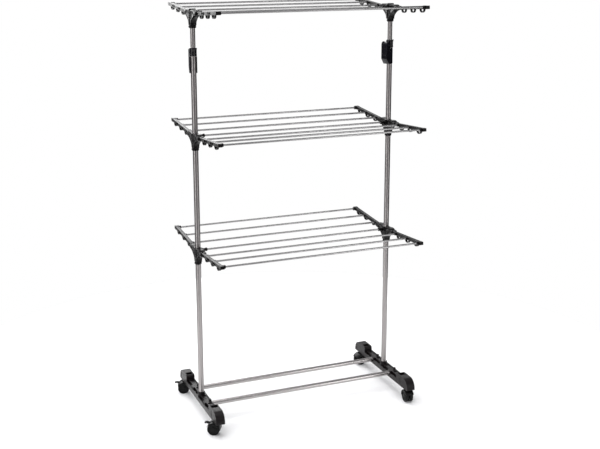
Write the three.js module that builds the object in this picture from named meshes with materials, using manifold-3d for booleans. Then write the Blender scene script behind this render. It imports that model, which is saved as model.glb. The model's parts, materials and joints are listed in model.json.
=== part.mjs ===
// Rolling clothes drying rack: two wheeled feet, two telescopic posts and three tiers of
// folding wings with steel hanging rods. Millimetres, +Z up. X runs along the rods, Y through
// the depth of the rack. The origin is on the floor, below the middle of the overall box.
import * as THREE from "three";
import { mergeVertices } from "three/addons/utils/BufferGeometryUtils.js";
import Module from "manifold-3d";

// ---------------------------------------------------------------- driving dimensions
const POST_SPACING = 840;
const POSTS_MIDDLE = 16.35;
const FIT_GAP = 0.3;

const TIERS = [
  { name: "lower", height: 700 },
  { name: "middle", height: 1163 },
  { name: "top", height: 1637 },
];
const HINGE_OFFSET = 70;
const HINGE_RISE = 1;
const WING_TILT = THREE.MathUtils.degToRad(4);

const OUTER_POST_DIAMETER = 22;
const OUTER_POST_WALL = 1;
const OUTER_POST_BOTTOM = 62;
const OUTER_POST_TOP = 1500;
const INNER_POST_WALL = 1;
const INNER_POST_BOTTOM = 1130;
const POST_SIDES = 12;

const ROD_DIAMETER = 7.6;
const ROD_WALL = 0.6;
const ROD_SIDES = 8;
const ROD_STATIONS = [30, 130, 230];

const BASE_TUBE_DIAMETER = 19;
const BASE_TUBE_WALL = 1;
const BASE_TUBE_HEIGHT = 72;
const BASE_TUBE_OFFSET = 81.5;

const FOOT_HALF_LENGTH = 255;
const FOOT_WIDTH = 36;
const FOOT_UNDERSIDE = 56;
const FOOT_SPINE_TOP = 84;
const FOOT_LEDGE_TOP = 76;
const FOOT_ARCH_TOP = 102;
const FOOT_ARCH_START = 155;
const FOOT_ARCH_RADIUS = 38;
const FOOT_COLLAR_TOP = 94;

const CASTER_OFFSET = 214;
const WHEEL_RADIUS = 25;
const WHEEL_SIDES = 16;
const WHEEL_PAIR_WIDTH = 34;
const PIN_SIDES = 8;
const CASTER_TRAIL = 15;
const CASTER_SPOTS = [
  { name: "front_left", x: -1, y: -1, turn: 150, brake: true },
  { name: "rear_left", x: -1, y: 1, turn: 165, brake: true },
  { name: "front_right", x: 1, y: -1, turn: 265, brake: false },
  { name: "rear_right", x: 1, y: 1, turn: 190, brake: false },
];

const BEAM_THICKNESS = 14;
const BEAM_TOP = 6;
const BEAM_BOTTOM = -6.5;
const BEAM_START = 9;
const BEAM_END = 244;
const LOOP_STATIONS = [50, 125, 200];
const LOOP_HALF_WIDTH = 16.5;
const LOOP_DEPTH = 13;
const LOOP_BAR = 3.6;
const LOOP_THICKNESS = 8;
const TONGUE_THICKNESS = 8;
const TONGUE_RADIUS = 7;
const PIN_DIAMETER = 6;

const HUB_THICKNESS = 24;
const HUB_COLLAR_DIAMETER = 28;
const HUB_BOTTOM = -57;
const HUB_TOP = 11;
const HUB_CAP_TOP = 17;
const STUB_LENGTH = 38;
const STUB_DIAMETER = 12;
const STUB_SOCKET_DEPTH = 12;

const CLAMP_BOTTOM = 1474;
const CLAMP_TOP = 1506;
const CLAMP_DIAMETER = 29;
const LEVER_PIVOT_HEIGHT = 1488;
const LEVER_PIVOT_OFFSET = 24;
const LEVER_WIDTH = 29;
const LEVER_WALL = 3;
const LEVER_REACH = 36;
const LEVER_BOTTOM = 1408;
const LEVER_DIRECTIONS = { left: 80, right: 204 };

const outerPostBore = OUTER_POST_DIAMETER - 2 * OUTER_POST_WALL;
const innerPostDiameter = outerPostBore - 2 * FIT_GAP;
const innerPostTop = TIERS[2].height + 5;
const halfSpacing = POST_SPACING / 2;

// ---------------------------------------------------------------- materials
const chrome = { color: 0xb8b8ba, roughness: 0.24, metalness: 1 };
const rodSteel = { color: 0xa9a8a8, roughness: 0.3, metalness: 1 };
const blackPlastic = { color: 0x2b292a, roughness: 0.46, metalness: 0 };
const glossPlastic = { color: 0x20212a, roughness: 0.28, metalness: 0 };
const tyrePlastic = { color: 0x151515, roughness: 0.55, metalness: 0 };

// ---------------------------------------------------------------- solid helpers
const wasm = await Module();
wasm.setup();

function toSolid(geometry) {
  const bare = geometry.clone();
  bare.deleteAttribute("normal");
  bare.deleteAttribute("uv");
  const merged = mergeVertices(bare, 1e-4);
  const vertProperties = new Float32Array(merged.attributes.position.array);
  const triVerts = new Uint32Array(merged.index.array);
  return new wasm.Manifold(new wasm.Mesh({ numProp: 3, vertProperties, triVerts }));
}

function toGeometry(solid) {
  const mesh = solid.getMesh();
  const geometry = new THREE.BufferGeometry();
  geometry.setAttribute("position", new THREE.BufferAttribute(mesh.vertProperties, 3));
  geometry.setIndex(new THREE.BufferAttribute(mesh.triVerts, 1));
  geometry.computeVertexNormals();
  return geometry;
}

function join(geometries) {
  return geometries.map(toSolid).reduce((whole, piece) => whole.add(piece));
}

function cut(solid, geometries) {
  return geometries.map(toSolid).reduce((whole, piece) => whole.subtract(piece), solid);
}

function circlePoints(radius, sides, centre = [0, 0], phase = 0.5) {
  const points = [];
  for (let i = 0; i < sides; i += 1) {
    const angle = ((i + phase) / sides) * 2 * Math.PI;
    const x = centre[0] + radius * Math.cos(angle);
    const y = centre[1] + radius * Math.sin(angle);
    points.push(new THREE.Vector2(x, y));
  }
  return points;
}

function shapeOf(points) {
  return new THREE.Shape(points.map((p) => (Array.isArray(p) ? new THREE.Vector2(...p) : p)));
}

function prism(shape, from, to) {
  const geometry = new THREE.ExtrudeGeometry(shape, { depth: to - from, bevelEnabled: false });
  return geometry.translate(0, 0, from);
}

// A prism whose section (a, b) lies in the Y-Z plane and which runs along X.
function prismX(shape, from, to) {
  const turn = new THREE.Matrix4().set(0, 0, 1, 0, 1, 0, 0, 0, 0, 1, 0, 0, 0, 0, 0, 1);
  return prism(shape, from, to).applyMatrix4(turn);
}

// A prism whose section (a, b) lies in the X-Z plane and which runs along Y.
function prismY(shape, from, to) {
  return prism(shape, -to, -from).rotateX(Math.PI / 2);
}

function box(x0, x1, y0, y1, z0, z1) {
  const geometry = new THREE.BoxGeometry(x1 - x0, y1 - y0, z1 - z0);
  return geometry.translate((x0 + x1) / 2, (y0 + y1) / 2, (z0 + z1) / 2);
}

function discX(radius, sides, from, to, centre = [0, 0]) {
  return prismX(shapeOf(circlePoints(radius, sides, centre)), from, to);
}

function discY(radius, sides, from, to, centre = [0, 0]) {
  return prismY(shapeOf(circlePoints(radius, sides, centre)), from, to);
}

function discZ(radius, sides, from, to, centre = [0, 0]) {
  return prism(shapeOf(circlePoints(radius, sides, centre)), from, to);
}

function tubeShape(diameter, wall, sides) {
  const shape = shapeOf(circlePoints(diameter / 2, sides));
  shape.holes.push(new THREE.Path(circlePoints(diameter / 2 - wall, sides)));
  return shape;
}

const rack = new THREE.Group();
rack.position.x = POSTS_MIDDLE;

function place(parent, name, geometry, look) {
  const mesh = new THREE.Mesh(geometry, new THREE.MeshStandardMaterial(look));
  mesh.name = name;
  parent.add(mesh);
  return mesh;
}

// ---------------------------------------------------------------- feet
// Side outline of one arched end: flat underside, big outer round, small inner round.
function archOutline(sign) {
  const points = [[sign * FOOT_ARCH_START, FOOT_UNDERSIDE]];
  points.push([sign * FOOT_ARCH_START, FOOT_ARCH_TOP - 8]);
  points.push([sign * (FOOT_ARCH_START + 3), FOOT_ARCH_TOP - 2]);
  points.push([sign * (FOOT_ARCH_START + 9), FOOT_ARCH_TOP]);
  const centreY = FOOT_HALF_LENGTH - FOOT_ARCH_RADIUS;
  const centreZ = FOOT_ARCH_TOP - FOOT_ARCH_RADIUS;
  for (let i = 0; i <= 5; i += 1) {
    const angle = (Math.PI / 2) * (1 - i / 5);
    const y = centreY + FOOT_ARCH_RADIUS * Math.cos(angle);
    const z = centreZ + FOOT_ARCH_RADIUS * Math.sin(angle);
    points.push([sign * y, z]);
  }
  points.push([sign * FOOT_HALF_LENGTH, FOOT_UNDERSIDE]);
  return shapeOf(points);
}

// One foot. The cross tubes enter it from tubeSide (+1 or -1 along X).
function footGeometry(tubeSide) {
  const half = FOOT_WIDTH / 2;
  const spineEdge = -8;
  const start = FOOT_ARCH_START + 2;
  const adds = [
    box(spineEdge, half, -start, start, FOOT_UNDERSIDE, FOOT_SPINE_TOP),
    box(-half, spineEdge + 1, -start, start, FOOT_UNDERSIDE, FOOT_LEDGE_TOP),
    discZ(15, POST_SIDES, FOOT_UNDERSIDE + 2, FOOT_COLLAR_TOP),
  ];
  const cuts = [];
  for (const sign of [-1, 1]) {
    adds.push(prismX(archOutline(sign), -half, half));
    const tubeY = sign * BASE_TUBE_OFFSET;
    const blockTop = FOOT_SPINE_TOP;
    adds.push(box(-half + 3, spineEdge + 1, tubeY - 13, tubeY + 13, FOOT_UNDERSIDE, blockTop));
    adds.push(box(7, 15, tubeY - 6, tubeY + 6, FOOT_SPINE_TOP - 1, FOOT_SPINE_TOP + 8));
    // pockets along the ledge
    for (const [near, far] of [[20, 66], [97, 150]]) {
      const y0 = Math.min(sign * near, sign * far);
      const y1 = Math.max(sign * near, sign * far);
      cuts.push(box(-half + 3, spineEdge, y0, y1, FOOT_UNDERSIDE + 6, FOOT_LEDGE_TOP + 1));
      cuts.push(box(-5, half - 4, y0 + 2, y1 - 2, FOOT_UNDERSIDE - 1, FOOT_SPINE_TOP - 5));
    }
    // recess in the inner end of the arch
    const r0 = Math.min(sign * (FOOT_ARCH_START + 9), sign * (FOOT_ARCH_START + 32));
    const r1 = Math.max(sign * (FOOT_ARCH_START + 9), sign * (FOOT_ARCH_START + 32));
    cuts.push(box(-half + 4, half - 4, r0, r1, FOOT_ARCH_TOP - 11, FOOT_ARCH_TOP + 1));
    // sockets of the cross tubes
    const socketRadius = BASE_TUBE_DIAMETER / 2 + FIT_GAP;
    const from = tubeSide > 0 ? -6 : -half - 1;
    const to = tubeSide > 0 ? half + 1 : 6;
    const socketCentre = [tubeY, BASE_TUBE_HEIGHT];
    cuts.push(discX(socketRadius, POST_SIDES, from, to, socketCentre));
  }
  let solid = cut(join(adds), cuts);
  // hollow underside of the arches with the caster socket standing in it
  for (const sign of [-1, 1]) {
    const y0 = Math.min(sign * (FOOT_ARCH_START + 5), sign * (FOOT_HALF_LENGTH - 5));
    const y1 = Math.max(sign * (FOOT_ARCH_START + 5), sign * (FOOT_HALF_LENGTH - 5));
    const hollow = box(-half + 4, half - 4, y0, y1, FOOT_UNDERSIDE - 1, FOOT_ARCH_TOP - 26);
    const boss = discZ(9, PIN_SIDES, FOOT_UNDERSIDE, FOOT_ARCH_TOP - 20, [0, sign * CASTER_OFFSET]);
    solid = solid.subtract(toSolid(hollow)).add(toSolid(boss));
    const stem = discZ(4.4, PIN_SIDES, FOOT_UNDERSIDE - 1, FOOT_UNDERSIDE + 21, [
      0,
      sign * CASTER_OFFSET,
    ]);
    solid = solid.subtract(toSolid(stem));
  }
  const boreRadius = OUTER_POST_DIAMETER / 2 + FIT_GAP;
  const bore = discZ(boreRadius, POST_SIDES, OUTER_POST_BOTTOM - FIT_GAP, FOOT_COLLAR_TOP + 1);
  return toGeometry(solid.subtract(toSolid(bore)));
}

for (const [name, side] of [["left", -1], ["right", 1]]) {
  const foot = place(rack, `foot_${name}`, footGeometry(-side), blackPlastic);
  foot.position.x = side * halfSpacing;
}

// ---------------------------------------------------------------- cross tubes of the base
const baseTubeReach = {
  left: -halfSpacing - 6 + FIT_GAP,
  right: halfSpacing + 6 - FIT_GAP,
};
for (const [name, side] of [["front", -1], ["back", 1]]) {
  const section = tubeShape(BASE_TUBE_DIAMETER, BASE_TUBE_WALL, POST_SIDES);
  const tube = prismX(section, baseTubeReach.left, baseTubeReach.right);
  const mesh = place(rack, `base_tube_${name}`, tube, chrome);
  mesh.position.set(0, side * BASE_TUBE_OFFSET, BASE_TUBE_HEIGHT);
}

// ---------------------------------------------------------------- casters
const wheelFlat = WHEEL_RADIUS * Math.cos(Math.PI / WHEEL_SIDES);

// Fork of one caster, with its stem on the Z axis and its axle behind it along +X.
function forkGeometry(brake) {
  const axle = [CASTER_TRAIL, wheelFlat];
  const hoodHalf = WHEEL_PAIR_WIDTH / 2 + 1;
  const hood = [];
  const steps = 7;
  for (let i = 0; i <= steps; i += 1) {
    const angle = THREE.MathUtils.degToRad(28 + (150 * i) / steps);
    const x = axle[0] + (WHEEL_RADIUS + 3) * Math.cos(angle);
    const z = axle[1] + (WHEEL_RADIUS + 3) * Math.sin(angle);
    hood.push([x, z]);
  }
  hood.push([axle[0] - 12, axle[1] - 9]);
  hood.push([axle[0] + 5, axle[1] - 6]);
  const body = join([
    prismY(shapeOf(hood), -hoodHalf, hoodHalf),
    discZ(10, PIN_SIDES, 40, FOOT_UNDERSIDE - FIT_GAP),
    discZ(4, PIN_SIDES, 50, FOOT_UNDERSIDE + 20),
  ]);
  const clear = WHEEL_RADIUS + 0.8;
  let fork = cut(body, [
    discY(clear, 20, 4, hoodHalf + 1, axle),
    discY(clear, 20, -hoodHalf - 1, -4, axle),
    discY(PIN_DIAMETER / 2 + FIT_GAP + 0.2, PIN_SIDES, -21, 21, axle),
  ]);
  if (brake) {
    const tail = WHEEL_RADIUS + CASTER_TRAIL;
    const pedal = shapeOf([
      [tail - 8, 44.5],
      [tail + 4, 48],
      [tail + 9, 46],
      [tail + 12, 48.2],
      [tail + 8, 51.2],
      [tail + 1, 51.2],
      [tail - 12, 47.5],
    ]);
    fork = fork.add(toSolid(prismY(pedal, -7, 7)));
  }
  return toGeometry(fork);
}

// Both wheels of a caster on their common axle.
function wheelGeometry() {
  const half = WHEEL_PAIR_WIDTH / 2;
  const profile = [
    [0, 3 - half], [19.5, 3 - half], [21, -half], [23.5, -half], [WHEEL_RADIUS, 1.5 - half],
    [WHEEL_RADIUS, -4.6], [PIN_DIAMETER / 2, -4.6],
  ];
  const mirrored = profile.map(([r, a]) => [r, -a]).reverse();
  const points = [...profile, ...mirrored].map(([r, a]) => new THREE.Vector2(r, a));
  const geometry = new THREE.LatheGeometry(points, WHEEL_SIDES);
  return toGeometry(toSolid(geometry.rotateY(Math.PI / WHEEL_SIDES)));
}

for (const spot of CASTER_SPOTS) {
  const caster = new THREE.Group();
  caster.position.set(spot.x * halfSpacing, spot.y * CASTER_OFFSET, 0);
  caster.rotation.z = THREE.MathUtils.degToRad(spot.turn);
  rack.add(caster);
  place(caster, `caster_fork_${spot.name}`, forkGeometry(spot.brake), blackPlastic);
  const wheels = place(caster, `caster_wheels_${spot.name}`, wheelGeometry(), tyrePlastic);
  wheels.position.set(CASTER_TRAIL, 0, wheelFlat);
}

// ---------------------------------------------------------------- posts
for (const [name, side] of [["left", -1], ["right", 1]]) {
  const outerSection = tubeShape(OUTER_POST_DIAMETER, OUTER_POST_WALL, POST_SIDES);
  const outer = prism(outerSection, OUTER_POST_BOTTOM, OUTER_POST_TOP);
  place(rack, `post_outer_${name}`, outer, chrome).position.x = side * halfSpacing;
  const innerSection = tubeShape(innerPostDiameter, INNER_POST_WALL, POST_SIDES);
  const inner = prism(innerSection, INNER_POST_BOTTOM, innerPostTop);
  place(rack, `post_inner_${name}`, inner, chrome).position.x = side * halfSpacing;
}

// ---------------------------------------------------------------- hubs
// V-shaped bracket on a post. Its own X axis points inward, towards the other post.
function hubGeometry(isTop) {
  const half = HUB_THICKNESS / 2;
  const outline = [[-13, -44]];
  const rightSide = [[13, -44], [14, -36], [26, -25], [42, -14], [56, -8], [68, -7.5]];
  outline.push(...rightSide);
  for (let i = 0; i <= 4; i += 1) {
    const angle = THREE.MathUtils.degToRad(-70 + i * 45);
    const y = HINGE_OFFSET + 8.3 * Math.cos(angle);
    const z = HINGE_RISE + 8.3 * Math.sin(angle);
    outline.push([y, z]);
  }
  outline.push([57, 10], [51, HUB_TOP + 2], [30, HUB_TOP + 2.5], [20, HUB_TOP]);
  const mirrored = outline.slice(2).map(([y, z]) => [-y, z]).reverse();
  const boreRadius = isTop ? innerPostDiameter / 2 + FIT_GAP : OUTER_POST_DIAMETER / 2 + FIT_GAP;
  const boreTop = isTop ? innerPostTop - TIERS[2].height + FIT_GAP : HUB_TOP + 2;
  const adds = [
    prismX(shapeOf([...outline, ...mirrored]), -half, half),
    discZ(HUB_COLLAR_DIAMETER / 2, POST_SIDES, HUB_BOTTOM, HUB_TOP),
    discX(STUB_DIAMETER / 2, ROD_SIDES, 4, STUB_LENGTH - 5),
    discX(STUB_DIAMETER / 2 + 1.2, ROD_SIDES, STUB_LENGTH - 7, STUB_LENGTH),
  ];
  if (isTop) {
    adds.push(discZ(14.5, POST_SIDES, HUB_TOP - 2, HUB_CAP_TOP - 2));
    adds.push(discZ(12.5, POST_SIDES, HUB_TOP - 2, HUB_CAP_TOP));
  }
  const socketFrom = STUB_LENGTH - STUB_SOCKET_DEPTH;
  const cuts = [
    discZ(boreRadius, POST_SIDES, HUB_BOTTOM - 1, boreTop),
    discX(ROD_DIAMETER / 2 + FIT_GAP, ROD_SIDES, socketFrom, STUB_LENGTH + 1),
  ];
  for (const sign of [-1, 1]) {
    const slotIn = Math.min(sign * 60, sign * 82);
    const slotOut = Math.max(sign * 60, sign * 82);
    const slotHalf = TONGUE_THICKNESS / 2 + FIT_GAP;
    cuts.push(box(-slotHalf, slotHalf, slotIn, slotOut, -20, 20));
    // sunk panel on each face of the arm of the V
    const panel = [[17.5, -27], [44, -9], [50, -3], [50, 4], [17.5, 6]];
    const outlinePanel = shapeOf(panel.map(([y, z]) => [sign * y, z]));
    cuts.push(prismX(outlinePanel, half - 2, half + 1));
    cuts.push(prismX(outlinePanel, -half - 1, -half + 2));
  }
  let solid = cut(join(adds), cuts);
  for (const sign of [-1, 1]) {
    const centre = [sign * HINGE_OFFSET, HINGE_RISE];
    const pin = discX(PIN_DIAMETER / 2, PIN_SIDES, -half + 1, half - 1, centre);
    solid = solid.add(toSolid(pin));
  }
  return toGeometry(solid);
}

for (const tier of TIERS) {
  for (const [name, side] of [["left", -1], ["right", 1]]) {
    const hub = place(rack, `hub_${tier.name}_${name}`, hubGeometry(tier.name === "top"), blackPlastic);
    hub.position.set(side * halfSpacing, 0, tier.height);
    hub.rotation.z = side < 0 ? 0 : Math.PI;
  }
}

// ---------------------------------------------------------------- rods
function rodGeometry(length) {
  const section = tubeShape(ROD_DIAMETER, ROD_WALL, ROD_SIDES);
  return prismX(section, -length / 2, length / 2);
}

const middleRodEnd = halfSpacing - STUB_LENGTH + STUB_SOCKET_DEPTH - FIT_GAP;
for (const tier of TIERS) {
  const rod = place(rack, `rod_${tier.name}_middle`, rodGeometry(2 * middleRodEnd), rodSteel);
  rod.position.z = tier.height;
}

// ---------------------------------------------------------------- wings
// Outline of a shallow hanger loop below a beam, or of its hole when inset is the bar's width.
function loopOutline(inset, top) {
  const wide = LOOP_HALF_WIDTH - inset;
  const deep = LOOP_DEPTH - inset;
  const points = [[wide, top]];
  for (let i = 0; i <= 6; i += 1) {
    const angle = (i / 6) * Math.PI;
    points.push([wide * Math.cos(angle), BEAM_BOTTOM - 2 - (deep - 2) * Math.sin(angle)]);
  }
  points.push([-wide, top]);
  return points;
}

// Plastic side beam of a wing. The hinge is on the X axis of its frame. The beam runs along
// outward (+1 or -1 in Y) and takes the rods on its inward side (+1 or -1 in X).
function beamGeometry(inward, outward) {
  const half = BEAM_THICKNESS / 2;
  const along = (u, z) => [outward * u, z];
  const span = (a, b) => (a * inward < b * inward ? [a * inward, b * inward] : [b * inward, a * inward]);
  const outline = shapeOf([
    along(BEAM_START, BEAM_BOTTOM + 3),
    along(BEAM_START + 4, BEAM_BOTTOM),
    along(BEAM_END - 5, BEAM_BOTTOM),
    along(BEAM_END, BEAM_BOTTOM + 5),
    along(BEAM_END, BEAM_TOP - 4),
    along(BEAM_END - 4, BEAM_TOP),
    along(BEAM_START + 3, BEAM_TOP),
    along(BEAM_START, BEAM_TOP - 3),
  ]);
  const tongue = shapeOf([
    ...Array.from({ length: 7 }, (_, i) => {
      const angle = Math.PI / 2 + (i / 6) * Math.PI;
      return along(TONGUE_RADIUS * Math.cos(angle), TONGUE_RADIUS * Math.sin(angle));
    }),
    along(BEAM_START + 2, -5),
    along(BEAM_START + 2, 5),
  ]);
  tongue.holes.push(new THREE.Path(circlePoints(PIN_DIAMETER / 2 + FIT_GAP, PIN_SIDES)));
  const adds = [
    prismX(outline, -half, half),
    prismX(tongue, -TONGUE_THICKNESS / 2, TONGUE_THICKNESS / 2),
  ];
  for (const u of LOOP_STATIONS) {
    const loop = shapeOf(loopOutline(0, BEAM_BOTTOM + 2).map(([a, z]) => along(u + a, z)));
    const hole = loopOutline(LOOP_BAR, BEAM_BOTTOM).map(([a, z]) => along(u + a, z));
    loop.holes.push(new THREE.Path(hole.reverse().map(([y, z]) => new THREE.Vector2(y, z))));
    adds.push(prismX(loop, -LOOP_THICKNESS / 2, LOOP_THICKNESS / 2));
  }
  const cuts = [];
  ROD_STATIONS.forEach((u, i) => {
    const isOuter = i === ROD_STATIONS.length - 1;
    const bossEnd = isOuter ? half + 9 : half + 5;
    const bossRadius = isOuter ? 7.2 : 6;
    const [from, to] = span(0, bossEnd);
    adds.push(discX(bossRadius, ROD_SIDES, from, to, along(u, 0)));
    const [holeFrom, holeTo] = span(-1 - FIT_GAP, bossEnd + 1);
    cuts.push(discX(ROD_DIAMETER / 2 + FIT_GAP, ROD_SIDES, holeFrom, holeTo, along(u, 0)));
  });
  // sunk panels on the outer face, between the loops
  for (const [near, far] of [[70, 105], [145, 180]]) {
    const [from, to] = span(-half - 1, -half + 3);
    const y0 = Math.min(outward * near, outward * far);
    const y1 = Math.max(outward * near, outward * far);
    cuts.push(box(from, to, y0, y1, BEAM_BOTTOM + 2.5, BEAM_TOP - 2.5));
  }
  return toGeometry(cut(join(adds), cuts));
}

const wingRodLength = 2 * (halfSpacing + 1);
for (const tier of TIERS) {
  for (const [name, outward] of [["front", -1], ["back", 1]]) {
    const wing = new THREE.Group();
    wing.position.set(0, outward * HINGE_OFFSET, tier.height + HINGE_RISE);
    wing.rotation.x = outward * WING_TILT;
    rack.add(wing);
    for (const [sideName, side] of [["left", -1], ["right", 1]]) {
      const beam = beamGeometry(-side, outward);
      const arm = place(wing, `arm_${tier.name}_${name}_${sideName}`, beam, blackPlastic);
      arm.position.x = side * halfSpacing;
    }
    ROD_STATIONS.forEach((u, i) => {
      const rodName = `rod_${tier.name}_${name}_${["inner", "mid", "outer"][i]}`;
      place(wing, rodName, rodGeometry(wingRodLength), rodSteel).position.y = outward * u;
    });
  }
}

// ---------------------------------------------------------------- height clamps
// Clamp body round the top of an outer post. Its own X axis points to the lever.
function clampGeometry() {
  const radius = CLAMP_DIAMETER / 2;
  const pivot = [LEVER_PIVOT_OFFSET, LEVER_PIVOT_HEIGHT];
  const innerWidth = LEVER_WIDTH / 2 - LEVER_WALL - FIT_GAP;
  const bracket = shapeOf([
    [4, CLAMP_BOTTOM + 4],
    [LEVER_PIVOT_OFFSET, LEVER_PIVOT_HEIGHT - 8],
    [LEVER_PIVOT_OFFSET + 6, LEVER_PIVOT_HEIGHT - 5],
    [LEVER_PIVOT_OFFSET + 8, LEVER_PIVOT_HEIGHT],
    [LEVER_PIVOT_OFFSET + 6, LEVER_PIVOT_HEIGHT + 5],
    [LEVER_PIVOT_OFFSET, LEVER_PIVOT_HEIGHT + 8],
    [4, CLAMP_TOP - 6],
  ]);
  const ear = shapeOf([
    [-radius + 2, CLAMP_TOP - 14],
    [-radius - 1, CLAMP_TOP - 10],
    [-radius - 4, CLAMP_TOP],
    [-radius + 2, CLAMP_TOP],
  ]);
  const body = join([
    discZ(radius, POST_SIDES, CLAMP_BOTTOM, CLAMP_TOP),
    prismY(bracket, -innerWidth, innerWidth),
    prismY(ear, -6, 6),
    discY(PIN_DIAMETER / 2, PIN_SIDES, -LEVER_WIDTH / 2, LEVER_WIDTH / 2, pivot),
  ]);
  const facetRoom = Math.cos(Math.PI / POST_SIDES);
  const lowerBore = (OUTER_POST_DIAMETER / 2 + FIT_GAP) / facetRoom;
  const upperBore = (innerPostDiameter / 2 + FIT_GAP) / facetRoom;
  const solid = cut(body, [
    discZ(lowerBore, POST_SIDES, CLAMP_BOTTOM - 1, OUTER_POST_TOP + FIT_GAP),
    discZ(upperBore, POST_SIDES, CLAMP_BOTTOM - 1, CLAMP_TOP + 1),
  ]);
  return toGeometry(solid);
}

// Channel-shaped lever that lies down along the post, straddling it.
function leverGeometry() {
  const wide = LEVER_WIDTH / 2;
  const inner = wide - LEVER_WALL;
  const head = [];
  for (let i = 0; i <= 6; i += 1) {
    const angle = Math.PI - (i / 6) * Math.PI;
    const x = LEVER_PIVOT_OFFSET + 12 * Math.cos(angle);
    const z = LEVER_PIVOT_HEIGHT + 12 * Math.sin(angle);
    head.push([x, z]);
  }
  const side = [
    [-3, LEVER_BOTTOM + 4],
    [1, LEVER_BOTTOM],
    [LEVER_REACH - 14, LEVER_BOTTOM],
    [LEVER_REACH, LEVER_BOTTOM + 20],
  ];
  const outline = shapeOf([[12, 1472.5], [-3, 1472.5], ...side, ...head.reverse()]);
  const hollowSide = [
    [-9, LEVER_BOTTOM - 2],
    [13.5, LEVER_BOTTOM - 2],
    [13.5, LEVER_BOTTOM + 3],
    [LEVER_REACH - 15, LEVER_BOTTOM + 3],
    [LEVER_REACH - 3, LEVER_BOTTOM + 21],
    [LEVER_REACH - 3, LEVER_PIVOT_HEIGHT + 6],
    [LEVER_REACH + 4, LEVER_PIVOT_HEIGHT + 6],
    [LEVER_REACH + 4, LEVER_PIVOT_HEIGHT + 20],
    [-9, LEVER_PIVOT_HEIGHT + 20],
  ];
  const pinHole = PIN_DIAMETER / 2 + FIT_GAP;
  const solid = cut(join([prismY(outline, -wide, wide)]), [
    prismY(shapeOf(hollowSide), -inner, inner),
    discY(pinHole, PIN_SIDES, -wide - 1, wide + 1, [LEVER_PIVOT_OFFSET, LEVER_PIVOT_HEIGHT]),
  ]);
  return toGeometry(solid);
}

for (const [name, side] of [["left", -1], ["right", 1]]) {
  const clamp = new THREE.Group();
  clamp.position.x = side * halfSpacing;
  clamp.rotation.z = THREE.MathUtils.degToRad(LEVER_DIRECTIONS[name]);
  rack.add(clamp);
  place(clamp, `clamp_body_${name}`, clampGeometry(), glossPlastic);
  place(clamp, `clamp_lever_${name}`, leverGeometry(), glossPlastic);
}

export default rack;
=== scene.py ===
import json
import math

import bmesh
import bpy
from mathutils import Matrix, Vector


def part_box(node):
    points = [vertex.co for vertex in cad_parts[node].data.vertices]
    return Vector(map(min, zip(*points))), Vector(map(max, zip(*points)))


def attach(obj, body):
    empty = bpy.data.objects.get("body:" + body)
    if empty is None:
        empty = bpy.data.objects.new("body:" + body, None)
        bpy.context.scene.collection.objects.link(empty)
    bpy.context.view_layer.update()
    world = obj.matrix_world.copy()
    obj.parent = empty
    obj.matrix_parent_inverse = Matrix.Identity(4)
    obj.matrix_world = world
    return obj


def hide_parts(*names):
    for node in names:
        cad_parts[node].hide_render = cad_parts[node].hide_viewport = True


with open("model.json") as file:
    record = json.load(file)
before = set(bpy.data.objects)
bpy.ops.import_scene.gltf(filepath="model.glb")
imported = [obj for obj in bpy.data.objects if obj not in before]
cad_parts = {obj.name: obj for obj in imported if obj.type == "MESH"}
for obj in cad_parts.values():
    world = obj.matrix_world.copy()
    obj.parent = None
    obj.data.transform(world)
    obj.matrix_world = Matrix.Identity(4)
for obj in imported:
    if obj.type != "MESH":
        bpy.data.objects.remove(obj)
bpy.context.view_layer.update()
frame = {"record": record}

MM = 0.001
JOINTS = {j["name"]: j for j in frame["record"]["behaviour"]["joints"]}
TIERS = ("lower", "middle", "top")
SIDES = {"left": -1, "right": 1}
ENDS = {"front": -1, "back": 1}


# ------------------------------------------------------------------ places from the frame
def middle(node):
    """Centre of a CAD node's box, in millimetres."""
    low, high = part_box(node)
    return (low + high) / 2 / MM


def span(node, axis):
    """Lowest and highest coordinate of a CAD node along one axis, in millimetres."""
    low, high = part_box(node)
    return low[axis] / MM, high[axis] / MM


def joint_place(name):
    """Point and direction of a joint, in millimetres and as a unit vector."""
    joint = JOINTS[name]
    return Vector(joint["pos_m"]) / MM, Vector(joint["axis"]).normalized()


POST_X = {side: middle(f"post_outer_{side}").x for side in SIDES}
CENTRE_X = (POST_X["left"] + POST_X["right"]) / 2


# ------------------------------------------------------------------ camera
def aim_camera():
    """Places the camera in metres; its angles are in degrees, pitch downwards."""
    data = bpy.data.cameras.new("camera")
    camera = bpy.data.objects.new("camera", data)
    bpy.context.collection.objects.link(camera)
    camera.location = (CENTRE_X * MM - 1.5660, -3.8612, 1.9098)
    yaw, pitch, roll = (math.radians(a) for a in (22.34, 13.43, -0.04))
    turn = Matrix.Rotation(-yaw, 4, "Z") @ Matrix.Rotation(math.pi / 2 - pitch, 4, "X")
    camera.rotation_euler = (turn @ Matrix.Rotation(roll, 4, "Z")).to_euler()
    data.sensor_width = 36
    data.lens = 62.8
    data.shift_y = -0.06
    data.clip_end = 200
    bpy.context.scene.camera = camera


aim_camera()


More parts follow.
